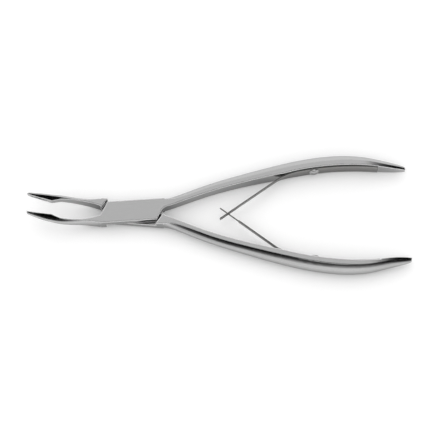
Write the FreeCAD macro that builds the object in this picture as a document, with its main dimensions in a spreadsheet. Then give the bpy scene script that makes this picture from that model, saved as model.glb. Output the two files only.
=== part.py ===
import FreeCAD, Part
import math
import os
import Sketcher
from FreeCAD import Placement, Rotation, Vector

# Bone rongeur: two halves crossing in a lap joint, curved cupped jaws and two leaf springs that hook together.
# Each half is drawn closed in its own frame: X along the tool, handle on +Y, jaw on -Y, lap plate above z = 0.
# The back half is the same drawing turned over about X. Each half is then swung open about the pivot, Z.

SIZES = {
    # joint
    "half_opening": 4.85,
    "joint_thickness": 4.0,
    "joint_half_width": 3.95,
    "joint_jaw_half_width": 4.4,
    "shoulder_slope": 60.0,
    "jaw_shoulder": 12.15,
    "grip_shoulder": 10.0,
    "shoulder_gap": 0.42,
    "lap_gap": 0.03,
    "crotch_drop": 0.4,
    # pivot screw
    "pivot_shank_radius": 1.45,
    "pivot_head_radius": 2.6,
    "pivot_head_height": 1.1,
    "pivot_head_recess": 0.08,
    "pivot_running_gap": 0.03,
    "pivot_thread_depth": 1.35,
    "pivot_thread_gap": 0.01,
    "pivot_end_gap": 0.15,
    # handle sections from the joint to the end: place, inner face, depth, width, length of the top flat
    "root_x": 11.0, "root_inner": 0.75, "root_depth": 3.55, "root_flat": 3.3,
    "neck_x": 17.0, "neck_inner": 2.45, "neck_depth": 3.45, "neck_width": 3.95, "neck_flat": 1.9,
    "waist_x": 28.0, "waist_inner": 5.7, "waist_depth": 3.65, "waist_width": 3.95, "waist_flat": 1.75,
    "swell_x": 43.0, "swell_inner": 8.85, "swell_depth": 4.05, "swell_width": 4.6, "swell_flat": 1.8,
    "palm_x": 60.0, "palm_inner": 11.3, "palm_depth": 4.8, "palm_width": 5.8, "palm_flat": 2.2,
    "crest_x": 75.5, "crest_inner": 12.38, "crest_depth": 4.7, "crest_width": 6.1, "crest_flat": 2.15,
    "heel_x": 87.0, "heel_inner": 11.5, "heel_depth": 3.95, "heel_width": 5.5, "heel_flat": 1.75,
    "end_x": 94.0, "end_inner": 10.3, "end_depth": 3.0, "end_width": 3.8, "end_flat": 1.25,
    "nub_x": 97.8, "nub_inner": 9.7, "nub_depth": 2.25, "nub_width": 2.5, "nub_flat": 1.1,
    "tip_x": 99.85, "tip_inner": 9.5, "tip_depth": 1.45, "tip_width": 1.5, "tip_flat": 0.8,
    # the back handle's end: its added length, and how much nearer the axis it lies
    "back_extra_length": 1.5,
    "back_end_drop": 0.9,
    # jaw sections from the joint to the tip: place, outer side, width, length of the top flat
    "jaw_bend_start": 13.0,
    "jaw_bend_radius": 48.0,
    "rim_gap": 0.03,
    "jaw_root_x": 12.7, "jaw_root_outer": 3.9, "jaw_root_flat": 3.65,
    "throat_x": 17.0, "throat_outer": 3.6, "throat_width": 3.9, "throat_flat": 2.85,
    "shank_x": 22.0, "shank_outer": 3.4, "shank_width": 3.3, "shank_flat": 2.35,
    "bow_x": 27.3, "bow_outer": 3.3, "bow_width": 2.4, "bow_flat": 2.2,
    "cup_back_x": 31.6, "cup_back_outer": 2.65, "cup_back_width": 1.9, "cup_back_flat": 1.7,
    "cup_mid_x": 35.0, "cup_mid_outer": 1.98, "cup_mid_width": 1.75, "cup_mid_flat": 1.15,
    "nose_x": 37.3, "nose_outer": 1.4, "nose_width": 1.45, "nose_flat": 0.75,
    "beak_x": 38.45, "beak_outer": 1.05, "beak_width": 1.2, "beak_flat": 0.52,
    "point_x": 38.95, "point_outer": 0.78, "point_width": 0.85, "point_flat": 0.42,
    # heights of the seams on the rounded outer side, as shares of the half width
    "inner_seam_share": 0.45,
    "outer_seam_share": 0.8,
    # relief between the closed jaws, behind the cups
    "relief_front_x": 30.3,
    "relief_ramp_x": 27.2,
    "relief_ramp_depth": 1.4,
    "relief_top_x": 21.5,
    "relief_top_depth": 1.95,
    "relief_back_depth": 0.85,
    # cup
    "cup_centre_x": 34.6,
    "cup_length": 8.0,
    "cup_depth": 1.15,
    "cup_width": 1.05,
    "cup_sweep": 120.0,
    # spring seat on the handle's inner face: its middle under the screw, slope there and round
    "seat_x": 66.5,
    "seat_y": 12.2,
    "seat_slope": 4.18,
    "seat_radius": 98.0,
    "seat_clear": 5.0,
    # spring leaves
    "leaf_seat_gap": 0.01,
    "leaf_tail_gap": 0.2,
    "leaf_lift_gap": 3.2,
    "leaf_thickness": 0.42,
    "leaf_base_width": 4.2,
    "leaf_end_width": 1.6,
    "leaf_tail": 23.3,
    "leaf_lift": 8.8,
    "leaf_bend_radius": 16.0,
    "leaf_blade_angle": 28.32,
    "leaf_straight": 25.0,
    "leaf_narrow_length": 26.0,
    "leaf_taper_length": 8.0,
    "leaf_edge_over": 0.02,
    "window_length": 6.2,
    "window_width": 0.8,
    "window_bridge": 0.7,
    "tongue_length": 8.2,
    "tongue_width": 0.5,
    "tongue_shoulder": 0.6,
    # spring screws
    "screw_head_radius": 1.9,
    "screw_head_rim": 0.3,
    "screw_head_height": 1.0,
    "screw_shank_radius": 0.9,
    "screw_shank_length": 2.9,
    "screw_leaf_gap": 0.15,
    "screw_head_gap": 0.02,
    "screw_thread_gap": 0.01,
    "screw_end_gap": 0.2,
    "slot_width": 0.5,
    "slot_depth": 0.4,
    # how far cutting outlines run past the metal
    "cut_over": 1.5,
}

HANDLE_SECTIONS = ("neck", "waist", "swell", "palm", "crest", "heel", "end", "nub", "tip")
JAW_SECTIONS = ("throat", "shank", "bow", "cup_back", "cup_mid", "nose", "beak", "point")
END_SECTIONS = ("end", "nub", "tip")

doc = FreeCAD.newDocument("rongeur")
sheet = doc.addObject("Spreadsheet::Sheet", "sizes")


def fill_sheet():
    """One row per driving size: its name, its value and its alias."""
    for row, (name, value) in enumerate(SIZES.items(), start=1):
        sheet.set(f"A{row}", name)
        sheet.set(f"B{row}", str(value))
        sheet.setAlias(f"B{row}", name)
    doc.recompute()


def new_body(label):
    body = doc.addObject("PartDesign::Body", label)
    body.Label = label
    return body


def new_sketch(body, name, role, offset=None):
    """A sketch on one of the body's own origin planes."""
    plane = next(f for f in body.Origin.OriginFeatures if f.Role == role)
    sketch = body.newObject("Sketcher::SketchObject", name)
    sketch.AttachmentSupport = [(plane, "")]
    sketch.MapMode = "FlatFace"
    if offset is not None:
        sketch.AttachmentOffset = offset
    return sketch


def pin_point(sketch, geo, point, x, y):
    """Hold one vertex at sheet values. x and y are expressions, measured from the sketch's origin."""
    for kind, text in (("DistanceX", x), ("DistanceY", y)):
        index = sketch.addConstraint(Sketcher.Constraint(kind, -1, 1, geo, point, evaluate(text)))
        name = f"{kind}_{geo}_{point}"
        sketch.renameConstraint(index, name)
        sketch.setExpression(f"Constraints.{name}", text)


def polygon(sketch, points):
    """A closed outline through corners given as (x, y, x expression, y expression)."""
    count = len(points)
    for i in range(count):
        a, b = points[i], points[(i + 1) % count]
        sketch.addGeometry(Part.LineSegment(Vector(a[0], a[1], 0), Vector(b[0], b[1], 0)), False)
    for i in range(count):
        sketch.addConstraint(Sketcher.Constraint("Coincident", i, 2, (i + 1) % count, 1))
    for i, point in enumerate(points):
        pin_point(sketch, i, 1, point[2], point[3])


def corner(x, y):
    """A polygon corner from two expressions, with its start place worked out from the same text."""
    return (evaluate(x), evaluate(y), x, y)


def evaluate(text):
    """The value of a sheet expression."""
    return float(sheet.evalExpression(text))


def datum(sketch, constraint, name, expression):
    index = sketch.addConstraint(constraint)
    sketch.renameConstraint(index, name)
    sketch.setExpression(f"Constraints.{name}", expression)


def d_section(body, name, outward, place, depth, width, flat):
    """A D outline across the tool: flat inner face, two short flats and a rounded outer side.

    place holds the expressions of x, the inner face and the height. outward is +1 or -1 along Y.
    The outer side is one arc in six parts, which meets the flats at an edge.
    """
    turn = Rotation(Vector(0, 0, 1), 0 if outward > 0 else 180)
    sketch = new_sketch(body, name, "YZ_Plane", Placement(Vector(), turn))
    along, inner, height = place
    sketch.setExpression(".AttachmentOffset.Base.x", inner)
    sketch.setExpression(".AttachmentOffset.Base.y", height)
    sketch.setExpression(".AttachmentOffset.Base.z", along)
    d, w, f = evaluate(depth), evaluate(width) / 2, evaluate(flat)
    seams = [f"sizes.{share} * ({width}) / 2" for share in ("inner_seam_share", "outer_seam_share")]
    radius = (w ** 2 + (d - f) ** 2) / (2 * (d - f))
    centre = Vector(d - radius, 0, 0)
    end = math.atan2(w, f - centre.x)
    near, far = [math.asin(evaluate(seam) / radius) for seam in seams]
    angles = (-end, -far, -near, 0, near, far, end)
    sketch.addGeometry(Part.LineSegment(Vector(0, -w, 0), Vector(0, w, 0)), False)
    sketch.addGeometry(Part.LineSegment(Vector(0, w, 0), Vector(f, w, 0)), False)
    sketch.addGeometry(Part.LineSegment(Vector(f, -w, 0), Vector(0, -w, 0)), False)
    circle = Part.Circle(centre, Vector(0, 0, 1), radius)
    arcs = []
    for low, high in zip(angles, angles[1:]):
        arcs.append(sketch.addGeometry(Part.ArcOfCircle(circle, low, high), False))
    join = Sketcher.Constraint
    sketch.addConstraint([
        join("Coincident", 0, 2, 1, 1),
        join("Coincident", 2, 2, 0, 1),
        join("Coincident", 2, 1, arcs[0], 1),
        join("Coincident", 1, 2, arcs[-1], 2),
        join("Horizontal", 1),
        join("Horizontal", 2),
        join("Symmetric", 0, 1, 0, 2, -1),
        join("PointOnObject", 0, 2, -2),
        join("PointOnObject", arcs[0], 3, -1),
        join("PointOnObject", arcs[2], 2, -1),
    ])
    for one, other in zip(arcs, arcs[1:]):
        sketch.addConstraint(join("Coincident", one, 2, other, 1))
        sketch.addConstraint(join("Coincident", one, 3, other, 3))
    datum(sketch, join("DistanceY", 0, 1, 0, 2, 2 * w), "width", width)
    datum(sketch, join("DistanceX", 1, 1, 1, 2, f), "flat", flat)
    datum(sketch, join("DistanceX", 0, 2, arcs[2], 2, d), "depth", depth)
    for i, seam in enumerate(seams):
        rise = evaluate(seam)
        datum(sketch, join("DistanceY", -1, 1, arcs[3 + i], 2, rise), f"upper_seam_{i}", seam)
        datum(sketch, join("DistanceY", arcs[1 - i], 2, -1, 1, rise), f"lower_seam_{i}", seam)
    return sketch


def pad(body, name, sketch, length):
    feature = body.newObject("PartDesign::Pad", name)
    feature.Profile = sketch
    feature.setExpression("Length", length)
    feature.Midplane = True
    return feature


def pocket(body, name, sketch, length=None, reverse=False):
    """A cut to a length, or right through both ways when no length is given."""
    feature = body.newObject("PartDesign::Pocket", name)
    feature.Profile = sketch
    feature.Reversed = reverse
    if length is None:
        feature.Type = "ThroughAll"
        feature.Midplane = True
    else:
        feature.setExpression("Length", length)
    return feature


def loft(body, name, sections):
    feature = body.newObject("PartDesign::AdditiveLoft", name)
    feature.Profile = sections[0]
    feature.Sections = [(section, [""]) for section in sections[1:]]
    feature.Ruled = False
    return feature


def joint_blank(body):
    """The lap plate with the two roots, in plan. Its slanted ends are the edges that face the other half."""
    sketch = new_sketch(body, body.Name + "_blank_sketch", "XY_Plane")
    polygon(sketch, [
        corner("-sizes.jaw_root_x", "-sizes.jaw_root_outer"),
        corner(at_slope("sizes.grip_shoulder", "-sizes.joint_half_width"), "-sizes.joint_half_width"),
        corner(at_slope("sizes.grip_shoulder", "-sizes.crotch_drop"), "-sizes.crotch_drop"),
        corner("sizes.root_x", "sizes.root_inner"),
        corner("sizes.root_x", "sizes.root_inner + sizes.root_depth"),
        corner(at_slope("-sizes.jaw_shoulder", "sizes.joint_jaw_half_width"), "sizes.joint_jaw_half_width"),
        corner(at_slope("-sizes.jaw_shoulder", "-sizes.crotch_drop"), "-sizes.crotch_drop"),
        corner("-sizes.jaw_root_x", "-sizes.relief_back_depth"),
    ])
    return pad(body, body.Name + "_blank", sketch, "sizes.joint_thickness")


def at_slope(start, y, side=1):
    """X on a shoulder line that crosses the tool's axis at start, at the height y."""
    sign = "+" if side > 0 else "-"
    return f"{start} {sign} ({y}) / tan(sizes.shoulder_slope * 1deg)"


def handle(body, front):
    """The handle's sections, smooth from the joint to the rounded end. The back one's end reaches further."""
    sections = [d_section(
        body, body.Name + "_root", 1, ("sizes.root_x", "sizes.root_inner", "0"),
        "sizes.root_depth", "sizes.joint_thickness", "sizes.root_flat")]
    for name in HANDLE_SECTIONS:
        along, inner = f"sizes.{name}_x", f"sizes.{name}_inner"
        if name in END_SECTIONS and not front:
            along += " + sizes.back_extra_length"
            inner += " - sizes.back_end_drop"
        sections.append(d_section(
            body, f"{body.Name}_{name}", 1, (along, inner, "0"),
            f"sizes.{name}_depth", f"sizes.{name}_width", f"sizes.{name}_flat"))
    return loft(body, body.Name + "_handle", sections)


def jaw_height(name, bend):
    """The rise of the jaw's middle line at a section, on an arc that leaves the joint level."""
    run = f"(sizes.{name}_x - sizes.jaw_bend_start)"
    sign = "" if bend > 0 else "-"
    return f"{sign}(sizes.jaw_bend_radius - sqrt(sizes.jaw_bend_radius ^ 2 - {run} ^ 2))"


def jaw(body, bend):
    """The jaw's sections, curving out of the joint's plane, with flat inner faces where the jaws meet."""
    sections = [d_section(
        body, body.Name + "_jaw_root", -1, ("-sizes.jaw_root_x", "-sizes.rim_gap", "0"),
        "sizes.jaw_root_outer - sizes.rim_gap", "sizes.joint_thickness", "sizes.jaw_root_flat")]
    for name in JAW_SECTIONS:
        sections.append(d_section(
            body, f"{body.Name}_{name}", -1, (f"-sizes.{name}_x", "-sizes.rim_gap", jaw_height(name, bend)),
            f"sizes.{name}_outer - sizes.rim_gap", f"sizes.{name}_width", f"sizes.{name}_flat"))
    return loft(body, body.Name + "_jaw", sections)


def relief(body):
    """The arched gap behind the cup: a ramp down from the rim, then one arc back to the shoulder."""
    sketch = new_sketch(body, body.Name + "_relief_sketch", "XY_Plane")
    front = corner("-sizes.relief_front_x", "0")
    ramp = corner("-sizes.relief_ramp_x", "-sizes.relief_ramp_depth")
    top = corner("-sizes.relief_top_x", "-sizes.relief_top_depth")
    low = corner("-sizes.jaw_root_x", "-sizes.relief_back_depth")
    shoulder = corner("-sizes.jaw_root_x", "sizes.cut_over")
    over = corner("-sizes.relief_front_x", "sizes.cut_over")
    v = [Vector(p[0], p[1], 0) for p in (front, ramp, top, low, shoulder, over)]
    sketch.addGeometry(Part.LineSegment(v[0], v[1]), False)
    sketch.addGeometry(Part.Arc(v[1], v[2], v[3]), False)
    sketch.addGeometry(Part.LineSegment(v[3], v[4]), False)
    sketch.addGeometry(Part.LineSegment(v[4], v[5]), False)
    sketch.addGeometry(Part.LineSegment(v[5], v[0]), False)
    sketch.addGeometry(Part.Point(v[2]), True)
    # an arc through three points may come out with its ends exchanged
    first, last = 1, 2
    if not sketch.Geometry[1].StartPoint.isEqual(v[1], 1e-6):
        first, last = last, first
    join = Sketcher.Constraint
    sketch.addConstraint([
        join("Coincident", 0, 2, 1, first),
        join("Coincident", 1, last, 2, 1),
        join("Coincident", 2, 2, 3, 1),
        join("Coincident", 3, 2, 4, 1),
        join("Coincident", 4, 2, 0, 1),
        join("PointOnObject", 5, 1, 1),
    ])
    pin_point(sketch, 0, 1, front[2], front[3])
    pin_point(sketch, 0, 2, ramp[2], ramp[3])
    pin_point(sketch, 5, 1, top[2], top[3])
    pin_point(sketch, 2, 1, low[2], low[3])
    pin_point(sketch, 3, 1, shoulder[2], shoulder[3])
    pin_point(sketch, 3, 2, over[2], over[3])
    return pocket(body, body.Name + "_relief", sketch)


def lap(body):
    """Half the joint's thickness taken away between the shoulders that the other half's plate turns in."""
    gap = "sizes.shoulder_gap / sin(sizes.shoulder_slope * 1deg)"
    jaw_line = f"-sizes.jaw_shoulder - {gap}"
    grip_line = f"sizes.grip_shoulder + {gap}"
    low = "-(sizes.joint_half_width + sizes.cut_over)"
    high = "sizes.joint_half_width + sizes.cut_over"
    sketch = new_sketch(body, body.Name + "_lap_sketch", "XY_Plane")
    sketch.setExpression(".AttachmentOffset.Base.z", "sizes.lap_gap / 2")
    polygon(sketch, [
        corner(at_slope(jaw_line, low, -1), low),
        corner(at_slope(grip_line, low, -1), low),
        corner(at_slope(grip_line, high, -1), high),
        corner(at_slope(jaw_line, high, -1), high),
    ])
    return pocket(body, body.Name + "_lap", sketch, "sizes.joint_thickness")


def round_cut(body, name, points):
    """A turned hole about the pivot's axis. points give the profile as (radius, height) expressions."""
    sketch = new_sketch(body, name + "_sketch", "XZ_Plane")
    polygon(sketch, [corner(x, y) for x, y in points])
    feature = body.newObject("PartDesign::Groove", name)
    feature.Profile = sketch
    feature.ReferenceAxis = (sketch, ["V_Axis"])
    feature.Angle = 360
    return feature


def pivot_thread_hole(body):
    """A blind hole in the front plate, opening on the lap face, so that nothing shows in front."""
    bore = "sizes.pivot_shank_radius + sizes.pivot_thread_gap"
    depth = "sizes.pivot_thread_depth + sizes.pivot_end_gap"
    return round_cut(body, body.Name + "_pivot_hole", [
        ("0", "-sizes.cut_over"), (bore, "-sizes.cut_over"), (bore, depth), ("0", depth)])


def pivot_bore(body):
    """A running bore through the back plate with the seat of the flat screw head."""
    bore = "sizes.pivot_shank_radius + sizes.pivot_running_gap"
    mouth = "sizes.pivot_head_radius + sizes.pivot_running_gap"
    face = "sizes.joint_thickness / 2"
    floor = "sizes.joint_thickness / 2 - sizes.pivot_head_recess - sizes.pivot_head_height"
    rim = "sizes.joint_thickness / 2 - sizes.pivot_head_recess"
    top = f"{face} + sizes.cut_over"
    under = "-sizes.cut_over"
    return round_cut(body, body.Name + "_pivot_bore", [
        ("0", under), (bore, under), (bore, floor), (mouth, rim), (mouth, top), ("0", top)])


def cup(body, bend):
    """The scoop in the jaw's flat: a round-nosed disc cut, sunk along the jaw's slope."""
    run = "(sizes.cup_centre_x - sizes.jaw_bend_start)"
    slope = f"asin({run} / sizes.jaw_bend_radius)"
    sign = "" if bend > 0 else "-"
    radius = "((sizes.cup_length / 2) ^ 2 + sizes.cup_depth ^ 2) / (2 * sizes.cup_depth)"
    height = jaw_height("cup_centre", bend)
    tilt = evaluate(slope) * bend
    sketch = new_sketch(body, body.Name + "_cup_sketch", "YZ_Plane")
    sketch.AttachmentOffset = Placement(Vector(), Rotation(Vector(1, 0, 0), tilt))
    sketch.setExpression(".AttachmentOffset.Base.x", "-sizes.rim_gap")
    sketch.setExpression(".AttachmentOffset.Base.y", height)
    sketch.setExpression(".AttachmentOffset.Base.z", "-sizes.cup_centre_x")
    r = evaluate("sizes.cup_width / 2")
    floor = evaluate("sizes.cup_depth")
    reach = evaluate(radius)
    over = evaluate("sizes.cut_over")
    nose = Part.Circle(Vector(r - floor, 0, 0), Vector(0, 0, 1), r)
    sketch.addGeometry(Part.ArcOfCircle(nose, math.pi / 2, 1.5 * math.pi), False)
    sketch.addGeometry(Part.LineSegment(Vector(r - floor, -r, 0), Vector(over, -r, 0)), False)
    sketch.addGeometry(Part.LineSegment(Vector(over, -r, 0), Vector(over, r, 0)), False)
    sketch.addGeometry(Part.LineSegment(Vector(over, r, 0), Vector(r - floor, r, 0)), False)
    axis = Part.LineSegment(Vector(reach - floor, -over, 0), Vector(reach - floor, over, 0))
    sketch.addGeometry(axis, True)
    join = Sketcher.Constraint
    sketch.addConstraint([
        join("Tangent", 0, 2, 1, 1),
        join("Coincident", 1, 2, 2, 1),
        join("Coincident", 2, 2, 3, 1),
        join("Tangent", 3, 2, 0, 1),
        join("Horizontal", 1),
        join("Vertical", 2),
        join("PointOnObject", 0, 3, -1),
        join("Symmetric", 4, 1, 4, 2, -1),
    ])
    datum(sketch, join("DistanceX", -1, 1, 2, 1, over), "mouth", "sizes.cut_over")
    datum(sketch, join("DistanceY", 4, 1, 4, 2, 2 * over), "axis", "sizes.cut_over * 2")
    datum(sketch, join("Radius", 0, r), "radius", "sizes.cup_width / 2")
    datum(sketch, join("DistanceX", 0, 3, -1, 1, floor - r), "sink", "sizes.cup_depth - sizes.cup_width / 2")
    datum(sketch, join("DistanceX", -1, 1, 4, 1, reach - floor), "reach", f"{radius} - sizes.cup_depth")
    feature = body.newObject("PartDesign::Groove", body.Name + "_cup")
    feature.Profile = sketch
    feature.ReferenceAxis = (sketch, ["Axis0"])
    feature.Angle = evaluate("sizes.cup_sweep")
    feature.Midplane = True
    return feature


def seat_frame():
    """The spring seat: origin under the screw, local x along the leaf to the joint, y away from the handle."""
    base = Vector(evaluate("sizes.seat_x"), evaluate("sizes.seat_y"), 0)
    return Placement(base, Rotation(Vector(0, 0, 1), 180 + evaluate("sizes.seat_slope")))


def spring_seat(body):
    """A shallow round cut along the handle's inner face, and the screw's blind hole in it."""
    radius, clear = evaluate("sizes.seat_radius"), evaluate("sizes.seat_clear")
    ahead, behind = "sizes.leaf_lift + sizes.leaf_lift_gap", "sizes.leaf_tail + sizes.leaf_tail_gap"
    front, back = evaluate(ahead), evaluate(behind)
    middle = -math.pi / 2
    arc = Part.ArcOfCircle(
        Part.Circle(Vector(0, radius, 0), Vector(0, 0, 1), radius),
        middle - math.asin(back / radius), middle + math.asin(front / radius))
    low_back, low_front = arc.StartPoint, arc.EndPoint
    high_back, high_front = Vector(-back, clear, 0), Vector(front, clear, 0)
    sketch = new_sketch(body, body.Name + "_seat_sketch", "XY_Plane", seat_frame())
    sketch.addGeometry(arc, False)
    sketch.addGeometry(Part.LineSegment(low_front, high_front), False)
    sketch.addGeometry(Part.LineSegment(high_front, high_back), False)
    sketch.addGeometry(Part.LineSegment(high_back, low_back), False)
    join = Sketcher.Constraint
    sketch.addConstraint([
        join("Coincident", 0, 2, 1, 1),
        join("Coincident", 1, 2, 2, 1),
        join("Coincident", 2, 2, 3, 1),
        join("Coincident", 3, 2, 0, 1),
        join("Vertical", 1),
        join("Horizontal", 2),
        join("Vertical", 3),
        join("PointOnObject", 0, 3, -2),
    ])
    datum(sketch, join("Radius", 0, radius), "radius", "sizes.seat_radius")
    datum(sketch, join("DistanceY", -1, 1, 0, 3, radius), "centre", "sizes.seat_radius")
    datum(sketch, join("DistanceX", -1, 1, 1, 2, front), "front", ahead)
    datum(sketch, join("DistanceX", 2, 2, -1, 1, back), "back", behind)
    datum(sketch, join("DistanceY", -1, 1, 1, 2, clear), "clear", "sizes.seat_clear")
    pocket(body, body.Name + "_seat", sketch)
    floor = "sizes.screw_shank_length - sizes.leaf_thickness + sizes.screw_end_gap + sizes.cut_over"
    above = seat_hole_frame(evaluate("sizes.cut_over"))
    drill = new_sketch(body, body.Name + "_drill_sketch", "XZ_Plane", above)
    circle(drill, "sizes.screw_shank_radius + sizes.screw_thread_gap")
    return pocket(body, body.Name + "_drill", drill, floor)


def seat_hole_frame(rise=0.0):
    """The seat's plane in the XZ plane's terms, facing away from the handle and raised off it by rise."""
    place = seat_frame().multVec(Vector(0, rise, 0))
    return Placement(Vector(place.x, 0, -place.y), Rotation(Vector(0, 1, 0), evaluate("sizes.seat_slope")))


def circle(sketch, radius):
    value = evaluate(radius)
    sketch.addGeometry(Part.Circle(Vector(), Vector(0, 0, 1), value), False)
    sketch.addConstraint(Sketcher.Constraint("Coincident", 0, 3, -1, 1))
    datum(sketch, Sketcher.Constraint("Radius", 0, value), "radius", radius)


def half(label, bend, front):
    """One half of the tool: handle, lap plate and jaw in one forging."""
    body = new_body(label)
    joint_blank(body)
    handle(body, front)
    jaw(body, bend)
    relief(body)
    lap(body)
    if front:
        pivot_thread_hole(body)
    else:
        pivot_bore(body)
    cup(body, bend)
    spring_seat(body)
    return body


def leaf(label, hooked):
    """One spring leaf: a long base bent to the seat's round, a lift and a blade that crosses the other leaf.

    hooked gives the blade a narrow tongue, and otherwise it has the window that the tongue goes through.
    """
    body = new_body(label)
    up, middle = Vector(0, 0, 1), -math.pi / 2
    seat, r = evaluate("sizes.seat_radius"), evaluate("sizes.leaf_bend_radius")
    t, base = evaluate("sizes.leaf_thickness"), evaluate("sizes.seat_radius - sizes.leaf_seat_gap")
    lift, tail = evaluate("sizes.leaf_lift"), evaluate("sizes.leaf_tail")
    slope = math.radians(evaluate("sizes.leaf_blade_angle"))
    straight = evaluate("sizes.leaf_straight")
    centre = Vector(0, seat, 0)
    tail_angle, lift_angle = middle - math.asin(tail / base), middle + math.asin(lift / base)
    outward = Vector(math.cos(lift_angle), math.sin(lift_angle), 0)
    bend_centre = centre + outward * (base - t - r)
    outer_base = Part.ArcOfCircle(Part.Circle(centre, up, base), tail_angle, lift_angle)
    inner_base = Part.ArcOfCircle(Part.Circle(centre, up, base - t), tail_angle, lift_angle)
    outer_bend = Part.ArcOfCircle(Part.Circle(bend_centre, up, r + t), lift_angle, middle + slope)
    inner_bend = Part.ArcOfCircle(Part.Circle(bend_centre, up, r), lift_angle, middle + slope)
    run = Vector(math.cos(slope), math.sin(slope), 0) * straight
    outer_tip, inner_tip = outer_bend.EndPoint + run, inner_bend.EndPoint + run
    sketch = new_sketch(body, label + "_side", "XY_Plane", seat_frame())
    sketch.addGeometry(outer_base, False)
    sketch.addGeometry(outer_bend, False)
    sketch.addGeometry(Part.LineSegment(outer_bend.EndPoint, outer_tip), False)
    sketch.addGeometry(Part.LineSegment(outer_tip, inner_tip), False)
    sketch.addGeometry(Part.LineSegment(inner_tip, inner_bend.EndPoint), False)
    sketch.addGeometry(inner_bend, False)
    sketch.addGeometry(inner_base, False)
    sketch.addGeometry(Part.LineSegment(inner_base.StartPoint, outer_base.StartPoint), False)
    join = Sketcher.Constraint
    sketch.addConstraint([
        join("Tangent", 0, 2, 1, 1),
        join("Tangent", 1, 2, 2, 1),
        join("Coincident", 2, 2, 3, 1),
        join("Coincident", 3, 2, 4, 1),
        join("Tangent", 4, 2, 5, 2),
        join("Tangent", 5, 1, 6, 2),
        join("Coincident", 6, 1, 7, 1),
        join("Coincident", 7, 2, 0, 1),
        join("Coincident", 1, 3, 5, 3),
        join("Coincident", 0, 3, 6, 3),
        join("PointOnObject", 0, 3, -2),
        join("PointOnObject", 0, 3, 7),
        join("Perpendicular", 2, 3),
        join("Parallel", 2, 4),
    ])
    datum(sketch, join("Radius", 0, base), "round", "sizes.seat_radius - sizes.leaf_seat_gap")
    datum(sketch, join("DistanceY", -1, 1, 0, 3, seat), "centre", "sizes.seat_radius")
    datum(sketch, join("DistanceX", 0, 1, -1, 1, tail), "tail", "sizes.leaf_tail")
    datum(sketch, join("DistanceX", -1, 1, 0, 2, lift), "lift", "sizes.leaf_lift")
    datum(sketch, join("Radius", 5, r), "bend", "sizes.leaf_bend_radius")
    datum(sketch, join("Distance", 7, t), "thickness", "sizes.leaf_thickness")
    datum(sketch, join("Distance", 2, straight), "straight", "sizes.leaf_straight")
    datum(sketch, join("Angle", 2, slope), "slope", "sizes.leaf_blade_angle * 1deg")
    pad(body, label + "_strip", sketch, "sizes.leaf_base_width")
    blade_sides(body, outer_tip, hooked)
    if not hooked:
        window(body, outer_tip)
    hole = new_sketch(body, label + "_hole_sketch", "XZ_Plane", seat_hole_frame())
    circle(hole, "sizes.screw_shank_radius + sizes.screw_leaf_gap")
    pocket(body, label + "_hole", hole)
    return body


def blade_frame(tip):
    """The blade's plane in the XZ plane's terms: origin at the tip and x back towards the bend."""
    place = seat_frame().multVec(tip)
    angle = evaluate("sizes.seat_slope + sizes.leaf_blade_angle")
    return Placement(Vector(place.x, 0, -place.y), Rotation(Vector(0, 1, 0), angle))


def blade_sides(body, tip, hooked):
    """The two edges of the blade: a tongue or a plain end, a parallel stretch and a taper out to the base."""
    half_end, half_tongue = "sizes.leaf_end_width / 2", "sizes.tongue_width / 2"
    before, outside = "-sizes.cut_over", "sizes.leaf_base_width"
    wide = "sizes.leaf_narrow_length + sizes.leaf_taper_length"
    if hooked:
        end = [(before, half_tongue), ("sizes.tongue_length", half_tongue),
               ("sizes.tongue_length + sizes.tongue_shoulder", half_end)]
    else:
        end = [(before, half_end)]
    half_base = "sizes.leaf_base_width / 2 + sizes.leaf_edge_over"
    taper = [("sizes.leaf_narrow_length", half_end), (wide, half_base)]
    edge = end + taper + [(wide, outside), (before, outside)]
    for side, sign in (("top", ""), ("low", "-")):
        name = f"{body.Name}_{side}_edge"
        sketch = new_sketch(body, name + "_sketch", "XZ_Plane", blade_frame(tip))
        polygon(sketch, [corner(x, f"{sign}({y})") for x, y in edge])
        pocket(body, name, sketch)


def window(body, tip):
    """The closed window that the other leaf's tongue goes through."""
    near = "sizes.window_bridge"
    far = "sizes.window_bridge + sizes.window_length"
    side = "sizes.window_width / 2"
    sketch = new_sketch(body, body.Name + "_window_sketch", "XZ_Plane", blade_frame(tip))
    low = f"-({side})"
    polygon(sketch, [corner(near, low), corner(far, low), corner(far, side), corner(near, side)])
    return pocket(body, body.Name + "_window", sketch)


def slot(body, height, reverse):
    """The driver slot, cut into a head from its outer face."""
    sketch = new_sketch(body, body.Name + "_slot_sketch", "XY_Plane")
    sketch.setExpression(".AttachmentOffset.Base.z", height)
    reach, side = "sizes.pivot_head_radius * 2", "sizes.slot_width / 2"
    polygon(sketch, [corner(f"-({reach})", f"-({side})"), corner(reach, f"-({side})"),
                     corner(reach, side), corner(f"-({reach})", side)])
    return pocket(body, body.Name + "_slot", sketch, "sizes.slot_depth", reverse)


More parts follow.
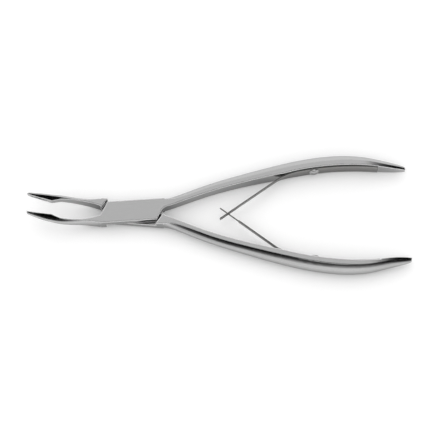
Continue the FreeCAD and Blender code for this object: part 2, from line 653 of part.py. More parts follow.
def spring_screw(label):
    """A domed slotted screw standing on z = 0, with a plain shank in place of the thread."""
    body = new_body(label)
    radius, rim = evaluate("sizes.screw_head_radius"), evaluate("sizes.screw_head_rim")
    crown = evaluate("sizes.screw_head_height - sizes.screw_head_rim")
    dome = (radius ** 2 + crown ** 2) / (2 * crown)
    centre = Vector(0, rim + crown - dome, 0)
    shank, length = evaluate("sizes.screw_shank_radius"), evaluate("sizes.screw_shank_length")
    sweep = math.asin(radius / dome)
    v = [Vector(0, -length, 0), Vector(shank, -length, 0), Vector(shank, 0, 0), Vector(radius, 0, 0),
         Vector(radius, rim, 0), Vector(0, rim + crown, 0)]
    sketch = new_sketch(body, label + "_profile", "XZ_Plane")
    for a, b in zip(v[:4], v[1:5]):
        sketch.addGeometry(Part.LineSegment(a, b), False)
    arc = Part.ArcOfCircle(Part.Circle(centre, Vector(0, 0, 1), dome), math.pi / 2 - sweep, math.pi / 2)
    sketch.addGeometry(arc, False)
    sketch.addGeometry(Part.LineSegment(v[5], v[0]), False)
    join = Sketcher.Constraint
    sketch.addConstraint([
        join("Coincident", 0, 2, 1, 1),
        join("Coincident", 1, 2, 2, 1),
        join("Coincident", 2, 2, 3, 1),
        join("Coincident", 3, 2, 4, 1),
        join("Coincident", 4, 2, 5, 1),
        join("Coincident", 5, 2, 0, 1),
        join("Horizontal", 0),
        join("Vertical", 1),
        join("PointOnObject", 2, 1, -1),
        join("Horizontal", 2),
        join("Vertical", 3),
        join("PointOnObject", 4, 3, -2),
        join("PointOnObject", 0, 1, -2),
        join("PointOnObject", 4, 2, -2),
    ])
    datum(sketch, join("DistanceY", 0, 1, -1, 1, length), "length", "sizes.screw_shank_length")
    datum(sketch, join("DistanceX", -1, 1, 2, 1, shank), "shank", "sizes.screw_shank_radius")
    datum(sketch, join("DistanceX", -1, 1, 3, 1, radius), "head", "sizes.screw_head_radius")
    datum(sketch, join("DistanceY", 3, 1, 3, 2, rim), "rim", "sizes.screw_head_rim")
    datum(sketch, join("DistanceY", -1, 1, 4, 2, rim + crown), "height", "sizes.screw_head_height")
    turned = body.newObject("PartDesign::Revolution", label + "_turned")
    turned.Profile = sketch
    turned.ReferenceAxis = (sketch, ["V_Axis"])
    turned.Angle = 360
    slot(body, "sizes.screw_head_height", False)
    return body


def pivot_screw():
    """The joint's screw: a flat head under the back plate, a running shank and a threaded end, left plain."""
    body = new_body("pivot_screw")
    face = "sizes.pivot_head_recess - sizes.joint_thickness / 2"
    neck = f"{face} + sizes.pivot_head_height"
    shank, end = "sizes.pivot_shank_radius", "sizes.pivot_thread_depth"
    sketch = new_sketch(body, "pivot_screw_profile", "XZ_Plane")
    polygon(sketch, [corner("0", face), corner("sizes.pivot_head_radius", face), corner(shank, neck),
                     corner(shank, end), corner("0", end)])
    turned = body.newObject("PartDesign::Revolution", "pivot_screw_turned")
    turned.Profile = sketch
    turned.ReferenceAxis = (sketch, ["V_Axis"])
    turned.Angle = 360
    slot(body, face, True)
    return body


def half_frame(front):
    """Where a half lies at rest: swung open about the pivot, and the back one turned over about X first."""
    base = Vector(0, 0, evaluate("sizes.joint_thickness / 2"))
    swing = evaluate("sizes.half_opening")
    if front:
        return Placement(base, Rotation(Vector(0, 0, 1), swing))
    return Placement(base, Rotation(Vector(0, 0, 1), -swing) * Rotation(Vector(1, 0, 0), 180))


def screw_frame():
    """The spring screw's place in a half: on the leaf, with its axis square to the seat."""
    inward = seat_frame().Rotation.multVec(Vector(0, 1, 0))
    rise = evaluate("sizes.leaf_seat_gap + sizes.leaf_thickness + sizes.screw_head_gap")
    base = seat_frame().Base + inward * rise
    return Placement(base, Rotation(Vector(0, 0, 1), inward))


def check(objects):
    """Stop when a feature has failed or a sub-part has no sound solid."""
    for item in doc.Objects:
        if "Invalid" in item.State or "Error" in item.State:
            raise RuntimeError(f"{item.Name}: {item.State}")
    for item in objects:
        if item.Shape.isNull() or not item.Shape.isValid() or not item.Shape.Solids:
            raise RuntimeError(f"{item.Label} has no valid solid")


fill_sheet()
pieces = {
    "front_half": (half("front_half", 1, True), half_frame(True)),
    "back_half": (half("back_half", -1, False), half_frame(False)),
    "pivot_screw": (pivot_screw(), half_frame(True)),
    "front_spring": (leaf("front_spring", False), half_frame(True)),
    "back_spring": (leaf("back_spring", True), half_frame(False)),
    "front_spring_screw": (spring_screw("front_spring_screw"), half_frame(True) * screw_frame()),
    "back_spring_screw": (spring_screw("back_spring_screw"), half_frame(False) * screw_frame()),
}
for item, place in pieces.values():
    item.Placement = place
doc.recompute()
check([item for item, place in pieces.values()])
os.makedirs("parts", exist_ok=True)
for name, (item, place) in pieces.items():
    item.Shape.exportStep(f"parts/{name}.step")
    print(name, round(item.Shape.Volume, 2), len(item.Shape.Faces))
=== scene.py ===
import math

import bmesh
import bpy
from mathutils import Matrix, Vector


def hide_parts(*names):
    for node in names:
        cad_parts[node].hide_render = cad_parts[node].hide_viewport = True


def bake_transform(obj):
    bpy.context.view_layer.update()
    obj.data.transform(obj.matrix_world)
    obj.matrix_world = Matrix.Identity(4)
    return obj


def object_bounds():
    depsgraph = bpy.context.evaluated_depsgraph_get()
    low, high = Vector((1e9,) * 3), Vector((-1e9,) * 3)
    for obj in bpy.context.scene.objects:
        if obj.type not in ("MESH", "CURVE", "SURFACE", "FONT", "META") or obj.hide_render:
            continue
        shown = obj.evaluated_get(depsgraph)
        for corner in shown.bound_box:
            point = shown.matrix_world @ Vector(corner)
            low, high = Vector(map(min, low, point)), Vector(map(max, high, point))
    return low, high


# Looks of the bone rongeur: satin steel halves, two hooked leaf springs, slotted screws and the studio.

bl_info = {
    "name": "Bone rongeur looks",
    "version": (1, 0, 0),
    "blender": (4, 5, 0),
    "location": "View3D > Sidebar > Rongeur",
    "description": "Finishes, leaf springs and studio for the packed bone rongeur",
    "category": "Object",
}

MM = 0.001
HALVES = ("front_half", "back_half")
SCREWS = ("front_spring_screw", "back_spring_screw", "pivot_screw")

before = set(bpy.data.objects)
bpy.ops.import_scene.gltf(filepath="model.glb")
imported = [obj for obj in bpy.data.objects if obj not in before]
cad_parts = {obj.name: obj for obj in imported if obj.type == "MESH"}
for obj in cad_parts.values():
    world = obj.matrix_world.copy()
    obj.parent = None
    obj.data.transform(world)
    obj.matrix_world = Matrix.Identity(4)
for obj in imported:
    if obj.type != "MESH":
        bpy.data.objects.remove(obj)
cad_low, cad_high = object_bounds()


# Settings

class HalvesSettings(bpy.types.PropertyGroup):
    """Satin steel of the two halves."""

    colour: bpy.props.FloatVectorProperty(
        name="Steel colour", description="Colour of the bare steel", subtype="COLOR",
        size=3, min=0, max=1, default=(0.62, 0.62, 0.62))
    # Painted highlight: near-white colour painted as a bright line along the halves' edges.
    painted_edge_line_colour: bpy.props.FloatVectorProperty(
        name="Edge colour", description="Colour of the stoned edges", subtype="COLOR",
        size=3, min=0, max=1, default=(0.98, 0.98, 0.98))
    roughness: bpy.props.FloatProperty(
        name="Roughness", description="Blur of the satin finish", default=0.06, min=0, max=1)
    edge_radius: bpy.props.FloatProperty(
        name="Edge radius", description="Rounding of the stoned edges", unit="LENGTH",
        default=0.5 * MM, min=0, max=1 * MM, precision=5)
    fineness: bpy.props.FloatProperty(
        name="Grain fineness", description="How fine the polishing grain is", default=1.0, min=0.1, max=10)


class SpringSettings(bpy.types.PropertyGroup):
    """Sizes and steel of the two spring leaves."""

    colour: bpy.props.FloatVectorProperty(
        name="Spring colour", description="Colour of the tempered leaves", subtype="COLOR",
        size=3, min=0, max=1, default=(0.42, 0.415, 0.405))
    # Painted shade: dark colour painted as a dark line along the leaves' edges.
    painted_edge_line_colour: bpy.props.FloatVectorProperty(
        name="Edge colour", description="Colour of the leaves' dark edges", subtype="COLOR",
        size=3, min=0, max=1, default=(0.1, 0.1, 0.1))
    roughness: bpy.props.FloatProperty(
        name="Roughness", description="Blur of the tempered finish", default=0.2, min=0, max=1)
    edge_radius: bpy.props.FloatProperty(
        name="Edge radius", description="Rounding of the leaves' edges", unit="LENGTH",
        default=0.1 * MM, min=0, max=1 * MM, precision=5)
    fineness: bpy.props.FloatProperty(
        name="Grain fineness", description="How fine the rolled grain is", default=1.5, min=0.1, max=10)
    thickness: bpy.props.FloatProperty(
        name="Thickness", description="Thickness of a leaf", unit="LENGTH",
        default=0.42 * MM, precision=5)
    base_width: bpy.props.FloatProperty(
        name="Base width", description="Width of a leaf at its screw", unit="LENGTH",
        default=4.2 * MM, precision=5)
    end_width: bpy.props.FloatProperty(
        name="End width", description="Width of a leaf at its free end", unit="LENGTH",
        default=1.6 * MM, precision=5)
    tongue_width: bpy.props.FloatProperty(
        name="Tongue width", description="Width of the hooked leaf's tongue", unit="LENGTH",
        default=0.5 * MM, precision=5)
    window_width: bpy.props.FloatProperty(
        name="Window width", description="Width of the window that takes the tongue", unit="LENGTH",
        default=0.8 * MM, precision=5)


class ScrewSettings(bpy.types.PropertyGroup):
    """Polished steel of the screws."""

    colour: bpy.props.FloatVectorProperty(
        name="Screw colour", description="Colour of the polished screws", subtype="COLOR",
        size=3, min=0, max=1, default=(0.6, 0.6, 0.6))
    # Painted highlight: light colour painted as a bright line along the screws' edges and slots.
    painted_edge_line_colour: bpy.props.FloatVectorProperty(
        name="Edge colour", description="Colour of the screws' edges and slots", subtype="COLOR",
        size=3, min=0, max=1, default=(0.9, 0.9, 0.9))
    roughness: bpy.props.FloatProperty(
        name="Roughness", description="Blur of the polish", default=0.05, min=0, max=1)
    edge_radius: bpy.props.FloatProperty(
        name="Edge radius", description="Rounding of the screws' edges", unit="LENGTH",
        default=0.1 * MM, min=0, max=1 * MM, precision=5)
    fineness: bpy.props.FloatProperty(
        name="Grain fineness", description="How fine the turning marks are", default=0.5, min=0.1, max=10)


class StageSettings(bpy.types.PropertyGroup):
    """Camera, floor and studio light."""

    elevation: bpy.props.FloatProperty(
        name="Elevation", description="Camera height above the horizon", subtype="ANGLE",
        default=math.radians(65.0))
    roll: bpy.props.FloatProperty(
        name="Roll", description="Turn of the picture about the line of sight", subtype="ANGLE",
        default=math.radians(0.5))
    frame_width: bpy.props.FloatProperty(
        name="Picture width", description="Width that the picture covers at the object", unit="LENGTH",
        default=156.4 * MM, precision=4)
    lens: bpy.props.FloatProperty(
        name="Lens", description="Focal length of the camera", unit="CAMERA", default=200, min=20, max=500)
    floor_colour: bpy.props.FloatVectorProperty(
        name="Floor colour", description="Colour of the pale floor", subtype="COLOR",
        size=3, min=0, max=1, default=(0.93, 0.93, 0.93))
    # Painted shade: the floor is given a darker colour only in the steel's reflections.
    mirrored_painted_shade_colour: bpy.props.FloatVectorProperty(
        name="Mirrored floor", description="Colour of the floor where the steel mirrors it", subtype="COLOR",
        size=3, min=0, max=1, default=(0.78, 0.78, 0.78))
    # Reach of the painted shade that darkens the floor's colour around the tool.
    shade_reach: bpy.props.FloatProperty(
        name="Shade reach", description="How far the tool's soft shade spreads on the floor", unit="LENGTH",
        default=20 * MM, precision=4)


class RongeurSettings(bpy.types.PropertyGroup):
    """Everything that a user would change."""

    halves: bpy.props.PointerProperty(type=HalvesSettings)
    spring: bpy.props.PointerProperty(type=SpringSettings)
    screw: bpy.props.PointerProperty(type=ScrewSettings)
    stage: bpy.props.PointerProperty(type=StageSettings)


# Shader helpers

def add_node(tree, kind, **values):
    """A node with its plain properties set from keywords."""
    node = tree.nodes.new(kind)
    for name, value in values.items():
        setattr(node, name, value)
    return node


def new_group(name, inputs, outputs):
    """A shader node group with named float, colour or vector sockets."""
    group = bpy.data.node_groups.new(name, "ShaderNodeTree")
    for label, kind, default in inputs:
        socket = group.interface.new_socket(label, in_out="INPUT", socket_type=kind)
        if default is not None:
            socket.default_value = default
    for label, kind in outputs:
        group.interface.new_socket(label, in_out="OUTPUT", socket_type=kind)
    return group, group.nodes.new("NodeGroupInput"), group.nodes.new("NodeGroupOutput")


def place_group(tree, group, **values):
    """The group placed in a material, with its own values."""
    node = tree.nodes.new("ShaderNodeGroup")
    node.node_tree = group
    for label, value in values.items():
        node.inputs[label.replace("_", " ")].default_value = value
    return node


def feed(tree, socket, value):
    """Link another socket to a socket, or set it to a number or a colour."""
    if isinstance(value, bpy.types.NodeSocket):
        tree.links.new(value, socket)
    elif isinstance(value, (int, float)):
        socket.default_value = value
    else:
        socket.default_value = (*value, 1)


def maths(tree, operation, *values, clamp=False):
    """A Math node from numbers or sockets."""
    node = add_node(tree, "ShaderNodeMath", operation=operation, use_clamp=clamp)
    for socket, value in zip(node.inputs, values):
        feed(tree, socket, value)
    return node.outputs[0]


def multiply_add(tree, value, factor, offset):
    """value * factor + offset."""
    return maths(tree, "MULTIPLY_ADD", value, factor, offset)


def mix_colours(tree, factor, first, second):
    """The first colour where the factor is 0, the second where it is 1."""
    node = add_node(tree, "ShaderNodeMix", data_type="RGBA")
    feed(tree, node.inputs["Factor"], factor)
    feed(tree, node.inputs["A"], first)
    feed(tree, node.inputs["B"], second)
    return node.outputs["Result"]


def ramp(tree, factor, stops):
    """A colour ramp in greys from (place, value) pairs."""
    node = add_node(tree, "ShaderNodeValToRGB")
    node.color_ramp.interpolation = "EASE"
    elements = node.color_ramp.elements
    while len(elements) < len(stops):
        elements.new(0.5)
    for element, (place, value) in zip(elements, stops):
        element.position = place
        element.color = (value, value, value, 1)
    tree.links.new(factor, node.inputs["Fac"])
    return node.outputs["Color"]


# Finishes

# Sizes and strengths of the grain, the haze and the painted edge lines (painted highlight or painted shade
# along the edges). A mask is a list of (value, strength).
GRAIN_STRETCH = (0.035, 1.0, 1.0)
LINE_SCALE = 9000
SCRATCH_SCALE = 2600
SCRATCH_MASK = [(0.0, 0.0), (0.64, 0.0), (0.72, 1.0)]
GRAIN_DEPTH = 0.0025 * MM
GRAIN_STRENGTH = 0.35
GRAIN_TONE = 0.07
GRAIN_BLUR = 0.03
HAZE_MASK = [(0.35, 0.0), (0.7, 1.0)]
HAZE_SCALE = 140.0
HAZE_BLUR = 0.03
EDGE_BLUR = 0.25
# How matte the painted edge line is made, so that its painted colour shows.
PAINTED_LINE_SCATTER = 0.7
EDGE_GAIN = 12.0


def polishing_grain():
    """Fine lines left by the polishing wheel, stretched along one axis, with a few deeper scratches."""
    group, given, out = new_group(
        "polishing_grain",
        [("Vector", "NodeSocketVector", None), ("Fineness", "NodeSocketFloat", 1.0)],
        [("Height", "NodeSocketFloat"), ("Tone", "NodeSocketFloat")])
    stretch = add_node(group, "ShaderNodeVectorMath", operation="MULTIPLY")
    stretch.inputs[1].default_value = GRAIN_STRETCH
    group.links.new(given.outputs["Vector"], stretch.inputs[0])
    scaled = add_node(group, "ShaderNodeVectorMath", operation="SCALE")
    group.links.new(stretch.outputs[0], scaled.inputs[0])
    group.links.new(given.outputs["Fineness"], scaled.inputs["Scale"])
    lines = add_node(group, "ShaderNodeTexNoise")
    lines.inputs["Scale"].default_value = LINE_SCALE
    lines.inputs["Detail"].default_value = 4
    group.links.new(scaled.outputs[0], lines.inputs["Vector"])
    sparse = add_node(group, "ShaderNodeTexNoise")
    sparse.inputs["Scale"].default_value = SCRATCH_SCALE
    sparse.inputs["Detail"].default_value = 2
    group.links.new(scaled.outputs[0], sparse.inputs["Vector"])
    scratches = ramp(group, sparse.outputs["Fac"], SCRATCH_MASK)
    height = maths(group, "SUBTRACT", lines.outputs["Fac"], scratches)
    group.links.new(height, out.inputs["Height"])
    group.links.new(lines.outputs["Fac"], out.inputs["Tone"])
    return group


def rounded_edge_with_painted_line():
    """Edges rounded by the stone: a rounded normal, and a mask that is 1 on the edge, along which the steel
    paints a line of painted highlight or painted shade.
    """
    group, given, out = new_group(
        "rounded_edge_with_painted_line",
        [("Radius", "NodeSocketFloat", 0.2 * MM)],
        [("Normal", "NodeSocketVector"), ("Edge", "NodeSocketFloat")])
    rounded = add_node(group, "ShaderNodeBevel", samples=8)
    group.links.new(given.outputs["Radius"], rounded.inputs["Radius"])
    surface = add_node(group, "ShaderNodeNewGeometry")
    dot = add_node(group, "ShaderNodeVectorMath", operation="DOT_PRODUCT")
    group.links.new(rounded.outputs["Normal"], dot.inputs[0])
    group.links.new(surface.outputs["Normal"], dot.inputs[1])
    bent = maths(group, "SUBTRACT", 1.0, dot.outputs["Value"])
    edge = maths(group, "MULTIPLY", bent, EDGE_GAIN, clamp=True)
    group.links.new(rounded.outputs["Normal"], out.inputs["Normal"])
    group.links.new(edge, out.inputs["Edge"])
    return group


def handling_haze():
    """Faint cloudy marks from hands and cleaning."""
    group, given, out = new_group(
        "handling_haze",
        [("Vector", "NodeSocketVector", None), ("Size", "NodeSocketFloat", HAZE_SCALE)],
        [("Haze", "NodeSocketFloat")])
    cloud = add_node(group, "ShaderNodeTexNoise")
    cloud.inputs["Detail"].default_value = 5
    cloud.inputs["Roughness"].default_value = 0.6
    group.links.new(given.outputs["Vector"], cloud.inputs["Vector"])
    group.links.new(given.outputs["Size"], cloud.inputs["Scale"])
    shaped = ramp(group, cloud.outputs["Fac"], HAZE_MASK)
    group.links.new(shaped, out.inputs["Haze"])
    return group


def steel(name, finish):
    """Bare polished steel with grain, haze and stoned edges. Along the edges runs a mostly matte painted
    line in the edge-line colour: a painted highlight on the halves and screws, a painted shade on the
    leaves.
    """
    groups = shared_groups()
    material = bpy.data.materials.new(name)
    material.use_nodes = True
    tree = material.node_tree
    shader = tree.nodes["Principled BSDF"]
    place = add_node(tree, "ShaderNodeTexCoord").outputs["Object"]
    grain = place_group(tree, groups["grain"], Fineness=finish.fineness)
    haze = place_group(tree, groups["haze"])
    edge = place_group(tree, groups["edge"], Radius=finish.edge_radius)
    tree.links.new(place, grain.inputs["Vector"])
    tree.links.new(place, haze.inputs["Vector"])

    darker = [c * (1 - GRAIN_TONE) for c in finish.colour]
    lighter = [min(c * (1 + GRAIN_TONE), 1) for c in finish.colour]
    tone = mix_colours(tree, grain.outputs["Tone"], darker, lighter)
    # Painted line: along the edges the base colour turns to the edge-line colour, a painted highlight on the
    # halves and screws and a painted shade on the leaves.
    painted_edge_line = mix_colours(tree, edge.outputs["Edge"], tone, finish.painted_edge_line_colour)
    tree.links.new(painted_edge_line, shader.inputs["Base Color"])
    # The painted line is made mostly matte, so the white world lights its painted colour whichever way it
    # faces.
    metal = multiply_add(tree, edge.outputs["Edge"], -PAINTED_LINE_SCATTER, 1.0)
    tree.links.new(metal, shader.inputs["Metallic"])

    blur = multiply_add(tree, haze.outputs["Haze"], HAZE_BLUR, finish.roughness)
    blur = multiply_add(tree, grain.outputs["Tone"], GRAIN_BLUR, blur)
    blur = multiply_add(tree, edge.outputs["Edge"], EDGE_BLUR, blur)
    tree.links.new(blur, shader.inputs["Roughness"])

    bump = add_node(tree, "ShaderNodeBump")
    bump.inputs["Strength"].default_value = GRAIN_STRENGTH
    bump.inputs["Distance"].default_value = GRAIN_DEPTH
    tree.links.new(grain.outputs["Height"], bump.inputs["Height"])
    tree.links.new(edge.outputs["Normal"], bump.inputs["Normal"])
    tree.links.new(bump.outputs["Normal"], shader.inputs["Normal"])
    return material


def shared_groups():
    """The effects that the steels share, built once."""
    makers = {"grain": ("polishing_grain", polishing_grain), "edge": ("rounded_edge_with_painted_line", rounded_edge_with_painted_line),
              "haze": ("handling_haze", handling_haze)}
    return {key: bpy.data.node_groups.get(name) or make() for key, (name, make) in makers.items()}


def dress(node_name, material):
    """Give a CAD node its finish in every slot."""
    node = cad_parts[node_name]
    for slot in node.material_slots:
        slot.material = material


# Spring leaves

# A leaf's seat on its handle, and its lengths from the screw outwards, in its half's own frame.
SEAT = Vector((66.5, 12.2, 0.0)) * MM
SEAT_SLOPE = math.radians(4.18)
SEAT_RADIUS = 98.0 * MM
SEAT_GAP = 0.01 * MM
LEAF_TAIL = 23.3 * MM
LEAF_LIFT = 8.8 * MM
BEND_RADIUS = 16.0 * MM
BLADE_SLOPE = math.radians(28.32)
BLADE = 25.0 * MM
NARROW_LENGTH = 26.0 * MM
TAPER_LENGTH = 8.0 * MM
WINDOW_BRIDGE = 0.7 * MM
WINDOW_LENGTH = 6.2 * MM
TONGUE_LENGTH = 8.2 * MM
TONGUE_SHOULDER = 0.6 * MM
# The rows beside the window or tongue stay inside this share of the leaf's half width.
INNER_SHARE = 0.55
# Each half stands open by this angle at rest.
HALF_OPENING = math.radians(4.85)
MID_HEIGHT = 2.0 * MM
LEAF_STEP = 0.4 * MM
LEAF_BEVEL = 0.1 * MM
BEVEL_ABOVE = math.radians(50)
SHARP_ABOVE = math.radians(40)


def leaf_marks(thickness):
    """Lengths along a leaf's middle line from its screw to its tail, lift, end of bend and tip."""
    outer = SEAT_RADIUS - SEAT_GAP
    middle = outer - thickness / 2
    lift = math.asin(LEAF_LIFT / outer)
    straight = middle * lift + (BEND_RADIUS + thickness / 2) * (BLADE_SLOPE - lift)
    return -middle * math.asin(LEAF_TAIL / outer), middle * lift, straight, straight + BLADE


def leaf_line(along, thickness):
    """The place on a leaf's middle line at a length from its screw, in the frame of its own half."""
    towards = Vector((-math.cos(SEAT_SLOPE), -math.sin(SEAT_SLOPE), 0))
    away = Vector((math.sin(SEAT_SLOPE), -math.cos(SEAT_SLOPE), 0))
    _, lift, straight, _ = leaf_marks(thickness)
    middle = SEAT_RADIUS - SEAT_GAP - thickness / 2
    bend = BEND_RADIUS + thickness / 2
    angle = min(along, lift) / middle + min(max(along - lift, 0) / bend, BLADE_SLOPE - lift / middle)

    def out(turn):
        return towards * math.sin(turn) - away * math.cos(turn)

    centre, radius = SEAT + away * SEAT_RADIUS, middle
    if along > lift:
        centre, radius = centre + out(lift / middle) * (middle - bend), bend
    direction = towards * math.cos(angle) + away * math.sin(angle)
    return centre + out(angle) * radius + direction * max(along - straight, 0)


def leaf_mesh(name, hooked, settings):
    """The middle surface of a leaf with its window or tongue, as a grid of quads along its length."""
    tail, lift, straight, total = leaf_marks(settings.thickness)
    half_end, half_base = settings.end_width / 2, settings.base_width / 2

    def half_width(along):
        from_tip = total - along
        if hooked and from_tip < TONGUE_LENGTH:
            return settings.tongue_width / 2
        if hooked and from_tip < TONGUE_LENGTH + TONGUE_SHOULDER:
            share = (from_tip - TONGUE_LENGTH) / TONGUE_SHOULDER
            return settings.tongue_width / 2 * (1 - share) + half_end * share
        share = min(max((from_tip - NARROW_LENGTH) / TAPER_LENGTH, 0), 1)
        return half_end * (1 - share) + half_base * share

    marks = {tail, lift, straight, total}
    marks.update(total - m for m in (TONGUE_LENGTH, TONGUE_LENGTH + TONGUE_SHOULDER) if hooked)
    window = (total - WINDOW_BRIDGE - WINDOW_LENGTH, total - WINDOW_BRIDGE)
    if not hooked:
        marks.update(window)
    marks.update(total - m for m in (NARROW_LENGTH, NARROW_LENGTH + TAPER_LENGTH))
    stations = sorted(marks)
    filled = []
    for a, b in zip(stations, stations[1:]):
        count = max(1, round((b - a) / LEAF_STEP))
        filled += [a + (b - a) * i / count for i in range(count)]
    filled.append(stations[-1])
    made = bmesh.new()
    rows = []
    for along in filled:
        point = leaf_line(along, settings.thickness)
        outer = half_width(along)
        inner = min(settings.window_width / 2, outer * INNER_SHARE)
        heights = (-outer, -inner, inner, outer)
        rows.append([made.verts.new(point + Vector((0, 0, h))) for h in heights])
    for i, (low, high) in enumerate(zip(rows, rows[1:])):
        middle = (filled[i] + filled[i + 1]) / 2
        for j in range(3):
            if j == 1 and not hooked and window[0] < middle < window[1]:
                continue
            made.faces.new((low[j], high[j], high[j + 1], low[j + 1]))
    mesh = bpy.data.meshes.new(name)
    made.to_mesh(mesh)
    made.free()
    return mesh


def finished_copy(piece):
    """Replace a piece's mesh by the result of its modifiers."""
    bpy.context.view_layer.update()
    evaluated = piece.evaluated_get(bpy.context.evaluated_depsgraph_get())
    mesh = bpy.data.meshes.new_from_object(evaluated)
    piece.modifiers.clear()
    piece.data = mesh


def make_leaf(name, hooked, body, settings, material):
    """One spring leaf that rides on its half and bends towards the other one."""
    piece = bpy.data.objects.new(name, leaf_mesh(name, hooked, settings))
    bpy.context.scene.collection.objects.link(piece)
    front = body == "front"
    swing = HALF_OPENING if front else -HALF_OPENING
    turn = Matrix.Rotation(swing, 4, "Z")
    if not front:
        turn = turn @ Matrix.Rotation(math.pi, 4, "X")
    piece.data.transform(Matrix.Translation((0, 0, MID_HEIGHT)) @ turn)
    solid = piece.modifiers.new("thickness", "SOLIDIFY")
    solid.thickness = settings.thickness
    solid.offset = 0
    rounding = piece.modifiers.new("edges", "BEVEL")
    rounding.width = LEAF_BEVEL
    rounding.segments = 2
    rounding.limit_method = "ANGLE"
    rounding.angle_limit = BEVEL_ABOVE
    finished_copy(piece)
    piece.data.materials.clear()
    piece.data.materials.append(material)
    for polygon in piece.data.polygons:
        polygon.use_smooth = True
    piece.data.set_sharp_from_angle(angle=SHARP_ABOVE)
    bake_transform(piece)
    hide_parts(f"{body}_spring")


# Stage

FLOOR_HALF = 1.5
FLOOR_GAP = 0.05 * MM
FLOOR_LIFT = 0.17
# Strengths of the painted shade on the floor's colour, as seen directly and as mirrored by the steel.
SHADE_SEEN = 0.32
SHADE_MIRRORED = 0.4
# What the steel mirrors, as (direction, brightness). Direction 0 is fully towards the front or the
# jaws, 1 fully towards the back or the handles' ends and 0.5 halfway. OVERHEAD goes by height.
FRONT_TO_BACK = [(0.0, 0.85), (0.035, 0.8), (0.1, 0.62), (0.195, 0.34), (0.305, 0.1), (0.43, 0.03),
                 (0.5, 0.0), (0.665, 0.0), (0.695, 0.69), (0.72, 0.7), (0.9, 0.85)]
JAWS_TO_ENDS = [(0.0, 0.45), (0.12, 0.3), (0.25, 1.0), (0.57, 1.0), (0.67, 0.0), (0.9, 0.0), (1.0, 0.5)]
NEAR_AND_FAR = [(0.3, 1.0), (0.4, 0.0), (0.8, 0.0), (0.9, 1.0)]
OVERHEAD = [(0.9936, 0.0), (0.9986, 1.0)]
BEYOND_THE_ENDS = [(0.0, 0.5), (0.08, 0.4), (0.16, 0.0), (0.93, 0.0), (0.98, 0.5)]
AIM = Vector((29.1, -0.46, 1.79)) * MM
SENSOR_WIDTH = 36
NEAREST = 0.05
FARTHEST = 20


def make_floor(settings):
    """A plain pale floor that keeps the shadow, with a soft painted shade from the occlusion node darkening
    its colour around the tool, and turns white where nothing shades it.
    """
    low = cad_low.z - FLOOR_GAP
    mesh = bpy.data.meshes.new("floor")
    corners = [(x * FLOOR_HALF, y * FLOOR_HALF, low) for x, y in ((-1, -1), (1, -1), (1, 1), (-1, 1))]
    mesh.from_pydata(corners, [], [(0, 1, 2, 3)])
    floor = bpy.data.objects.new("floor", mesh)
    bpy.context.scene.collection.objects.link(floor)
    material = bpy.data.materials.new("pale_floor")
    material.use_nodes = True
    tree = material.node_tree
    shader = tree.nodes["Principled BSDF"]
    shader.inputs["Roughness"].default_value = 1.0
    shader.inputs["Specular IOR Level"].default_value = 0.0
    shader.inputs["Emission Color"].default_value = (1, 1, 1, 1)
    path = add_node(tree, "ShaderNodeLightPath")
    lift = maths(tree, "MULTIPLY", path.outputs["Is Camera Ray"], FLOOR_LIFT)
    tree.links.new(lift, shader.inputs["Emission Strength"])
    mirrored = path.outputs["Is Glossy Ray"]
    # Where the steel mirrors the floor, the floor gets its darker painted-shade colour.
    seen = mix_colours(tree, mirrored, settings.floor_colour, settings.mirrored_painted_shade_colour)
    # Painted shade: the floor's colour is darkened by the occlusion near the tool, more so where the steel
    # mirrors it.
    shade = add_node(tree, "ShaderNodeAmbientOcclusion", samples=8)
    shade.inputs["Distance"].default_value = settings.shade_reach
    strength = multiply_add(tree, mirrored, SHADE_MIRRORED, SHADE_SEEN)
    closed = maths(tree, "SUBTRACT", 1.0, shade.outputs["AO"])
    kept = maths(tree, "SUBTRACT", 1.0, maths(tree, "MULTIPLY", closed, strength))
    shaded = add_node(tree, "ShaderNodeVectorMath", operation="SCALE")
    tree.links.new(seen, shaded.inputs[0])
    tree.links.new(kept, shaded.inputs["Scale"])
    tree.links.new(shaded.outputs[0], shader.inputs["Base Color"])
    mesh.materials.append(material)


def make_world(scene):
    """White all round for the eye and the floor. Polished steel mirrors a pale studio with a dark band."""
    world = bpy.data.worlds.new("studio")
    scene.world = world
    world.use_nodes = True
    tree = world.node_tree
    background = tree.nodes["Background"]
    direction = add_node(tree, "ShaderNodeTexCoord").outputs["Generated"]
    axes = add_node(tree, "ShaderNodeSeparateXYZ")
    tree.links.new(direction, axes.inputs[0])
    depth = multiply_add(tree, axes.outputs["Y"], 0.5, 0.5)
    length = multiply_add(tree, axes.outputs["X"], 0.5, 0.5)
    ends = ramp(tree, length, JAWS_TO_ENDS)
    open_sides = maths(tree, "MAXIMUM", ends, ramp(tree, depth, NEAR_AND_FAR))
    sides = maths(tree, "MULTIPLY", ramp(tree, depth, FRONT_TO_BACK), open_sides)
    light = maths(tree, "MAXIMUM", sides, ramp(tree, axes.outputs["Z"], OVERHEAD))
    light = maths(tree, "MAXIMUM", light, ramp(tree, length, BEYOND_THE_ENDS))
    path = add_node(tree, "ShaderNodeLightPath")
    shown = mix_colours(tree, path.outputs["Is Glossy Ray"], (1, 1, 1), light)
    tree.links.new(shown, background.inputs["Color"])
    background.inputs["Strength"].default_value = 1.0


def make_camera(scene, settings):
    """A long lens at the photograph's angle."""
    camera = bpy.data.cameras.new("camera")
    camera.lens = settings.lens
    camera.sensor_width = SENSOR_WIDTH
    camera.clip_start = NEAREST
    camera.clip_end = FARTHEST
    holder = bpy.data.objects.new("camera", camera)
    scene.collection.objects.link(holder)
    back = Vector((0, -math.cos(settings.elevation), math.sin(settings.elevation)))
    distance = settings.frame_width * camera.lens / camera.sensor_width
    facing = (-back).to_track_quat("-Z", "Y").to_matrix().to_4x4()
    roll = Matrix.Rotation(settings.roll, 4, "Z")
    holder.matrix_world = Matrix.Translation(AIM + back * distance) @ facing @ roll
    scene.camera = holder


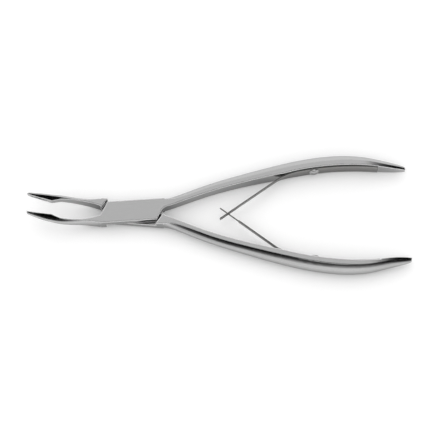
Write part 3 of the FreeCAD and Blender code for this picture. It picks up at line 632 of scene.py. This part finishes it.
# Operators

class RONGEUR_OT_halves(bpy.types.Operator):
    """Give the two halves their satin steel"""

    bl_idname = "rongeur.halves"
    bl_label = "Dress the halves"

    def execute(self, context):
        material = steel("satin_steel_finish", context.scene.rongeur.halves)
        for name in HALVES:
            dress(name, material)
        return {"FINISHED"}


class RONGEUR_OT_springs(bpy.types.Operator):
    """Make the two hooked spring leaves"""

    bl_idname = "rongeur.springs"
    bl_label = "Make the springs"

    def execute(self, context):
        settings = context.scene.rongeur.spring
        material = steel("spring_steel_finish", settings)
        make_leaf("front_leaf", False, "front", settings, material)
        make_leaf("back_leaf", True, "back", settings, material)
        return {"FINISHED"}


class RONGEUR_OT_screws(bpy.types.Operator):
    """Give the pivot screw and the spring screws their polish"""

    bl_idname = "rongeur.screws"
    bl_label = "Dress the screws"

    def execute(self, context):
        material = steel("screw_steel_finish", context.scene.rongeur.screw)
        for name in SCREWS:
            dress(name, material)
        return {"FINISHED"}


class RONGEUR_OT_stage(bpy.types.Operator):
    """Set up the floor, the studio light and the camera"""

    bl_idname = "rongeur.stage"
    bl_label = "Set the stage"

    def execute(self, context):
        settings = context.scene.rongeur.stage
        make_floor(settings)
        make_world(context.scene)
        make_camera(context.scene, settings)
        context.scene.view_settings.view_transform = "Standard"
        return {"FINISHED"}


class RONGEUR_PT_panel(bpy.types.Panel):
    """The rongeur's pieces and stage"""

    bl_idname = "RONGEUR_PT_panel"
    bl_label = "Bone rongeur"
    bl_space_type = "VIEW_3D"
    bl_region_type = "UI"
    bl_category = "Rongeur"

    def draw(self, context):
        for operator in OPERATORS:
            self.layout.operator(operator.bl_idname)


OPERATORS = (RONGEUR_OT_halves, RONGEUR_OT_springs, RONGEUR_OT_screws, RONGEUR_OT_stage)
SETTINGS = (HalvesSettings, SpringSettings, ScrewSettings, StageSettings, RongeurSettings)
CLASSES = (*SETTINGS, *OPERATORS, RONGEUR_PT_panel)


def register():
    for item in CLASSES:
        bpy.utils.register_class(item)
    bpy.types.Scene.rongeur = bpy.props.PointerProperty(type=RongeurSettings)


def unregister():
    del bpy.types.Scene.rongeur
    for item in reversed(CLASSES):
        bpy.utils.unregister_class(item)


def main():
    register()
    bpy.ops.rongeur.halves()
    bpy.ops.rongeur.springs()
    bpy.ops.rongeur.screws()
    bpy.ops.rongeur.stage()


if __name__ == "__main__":
    main()
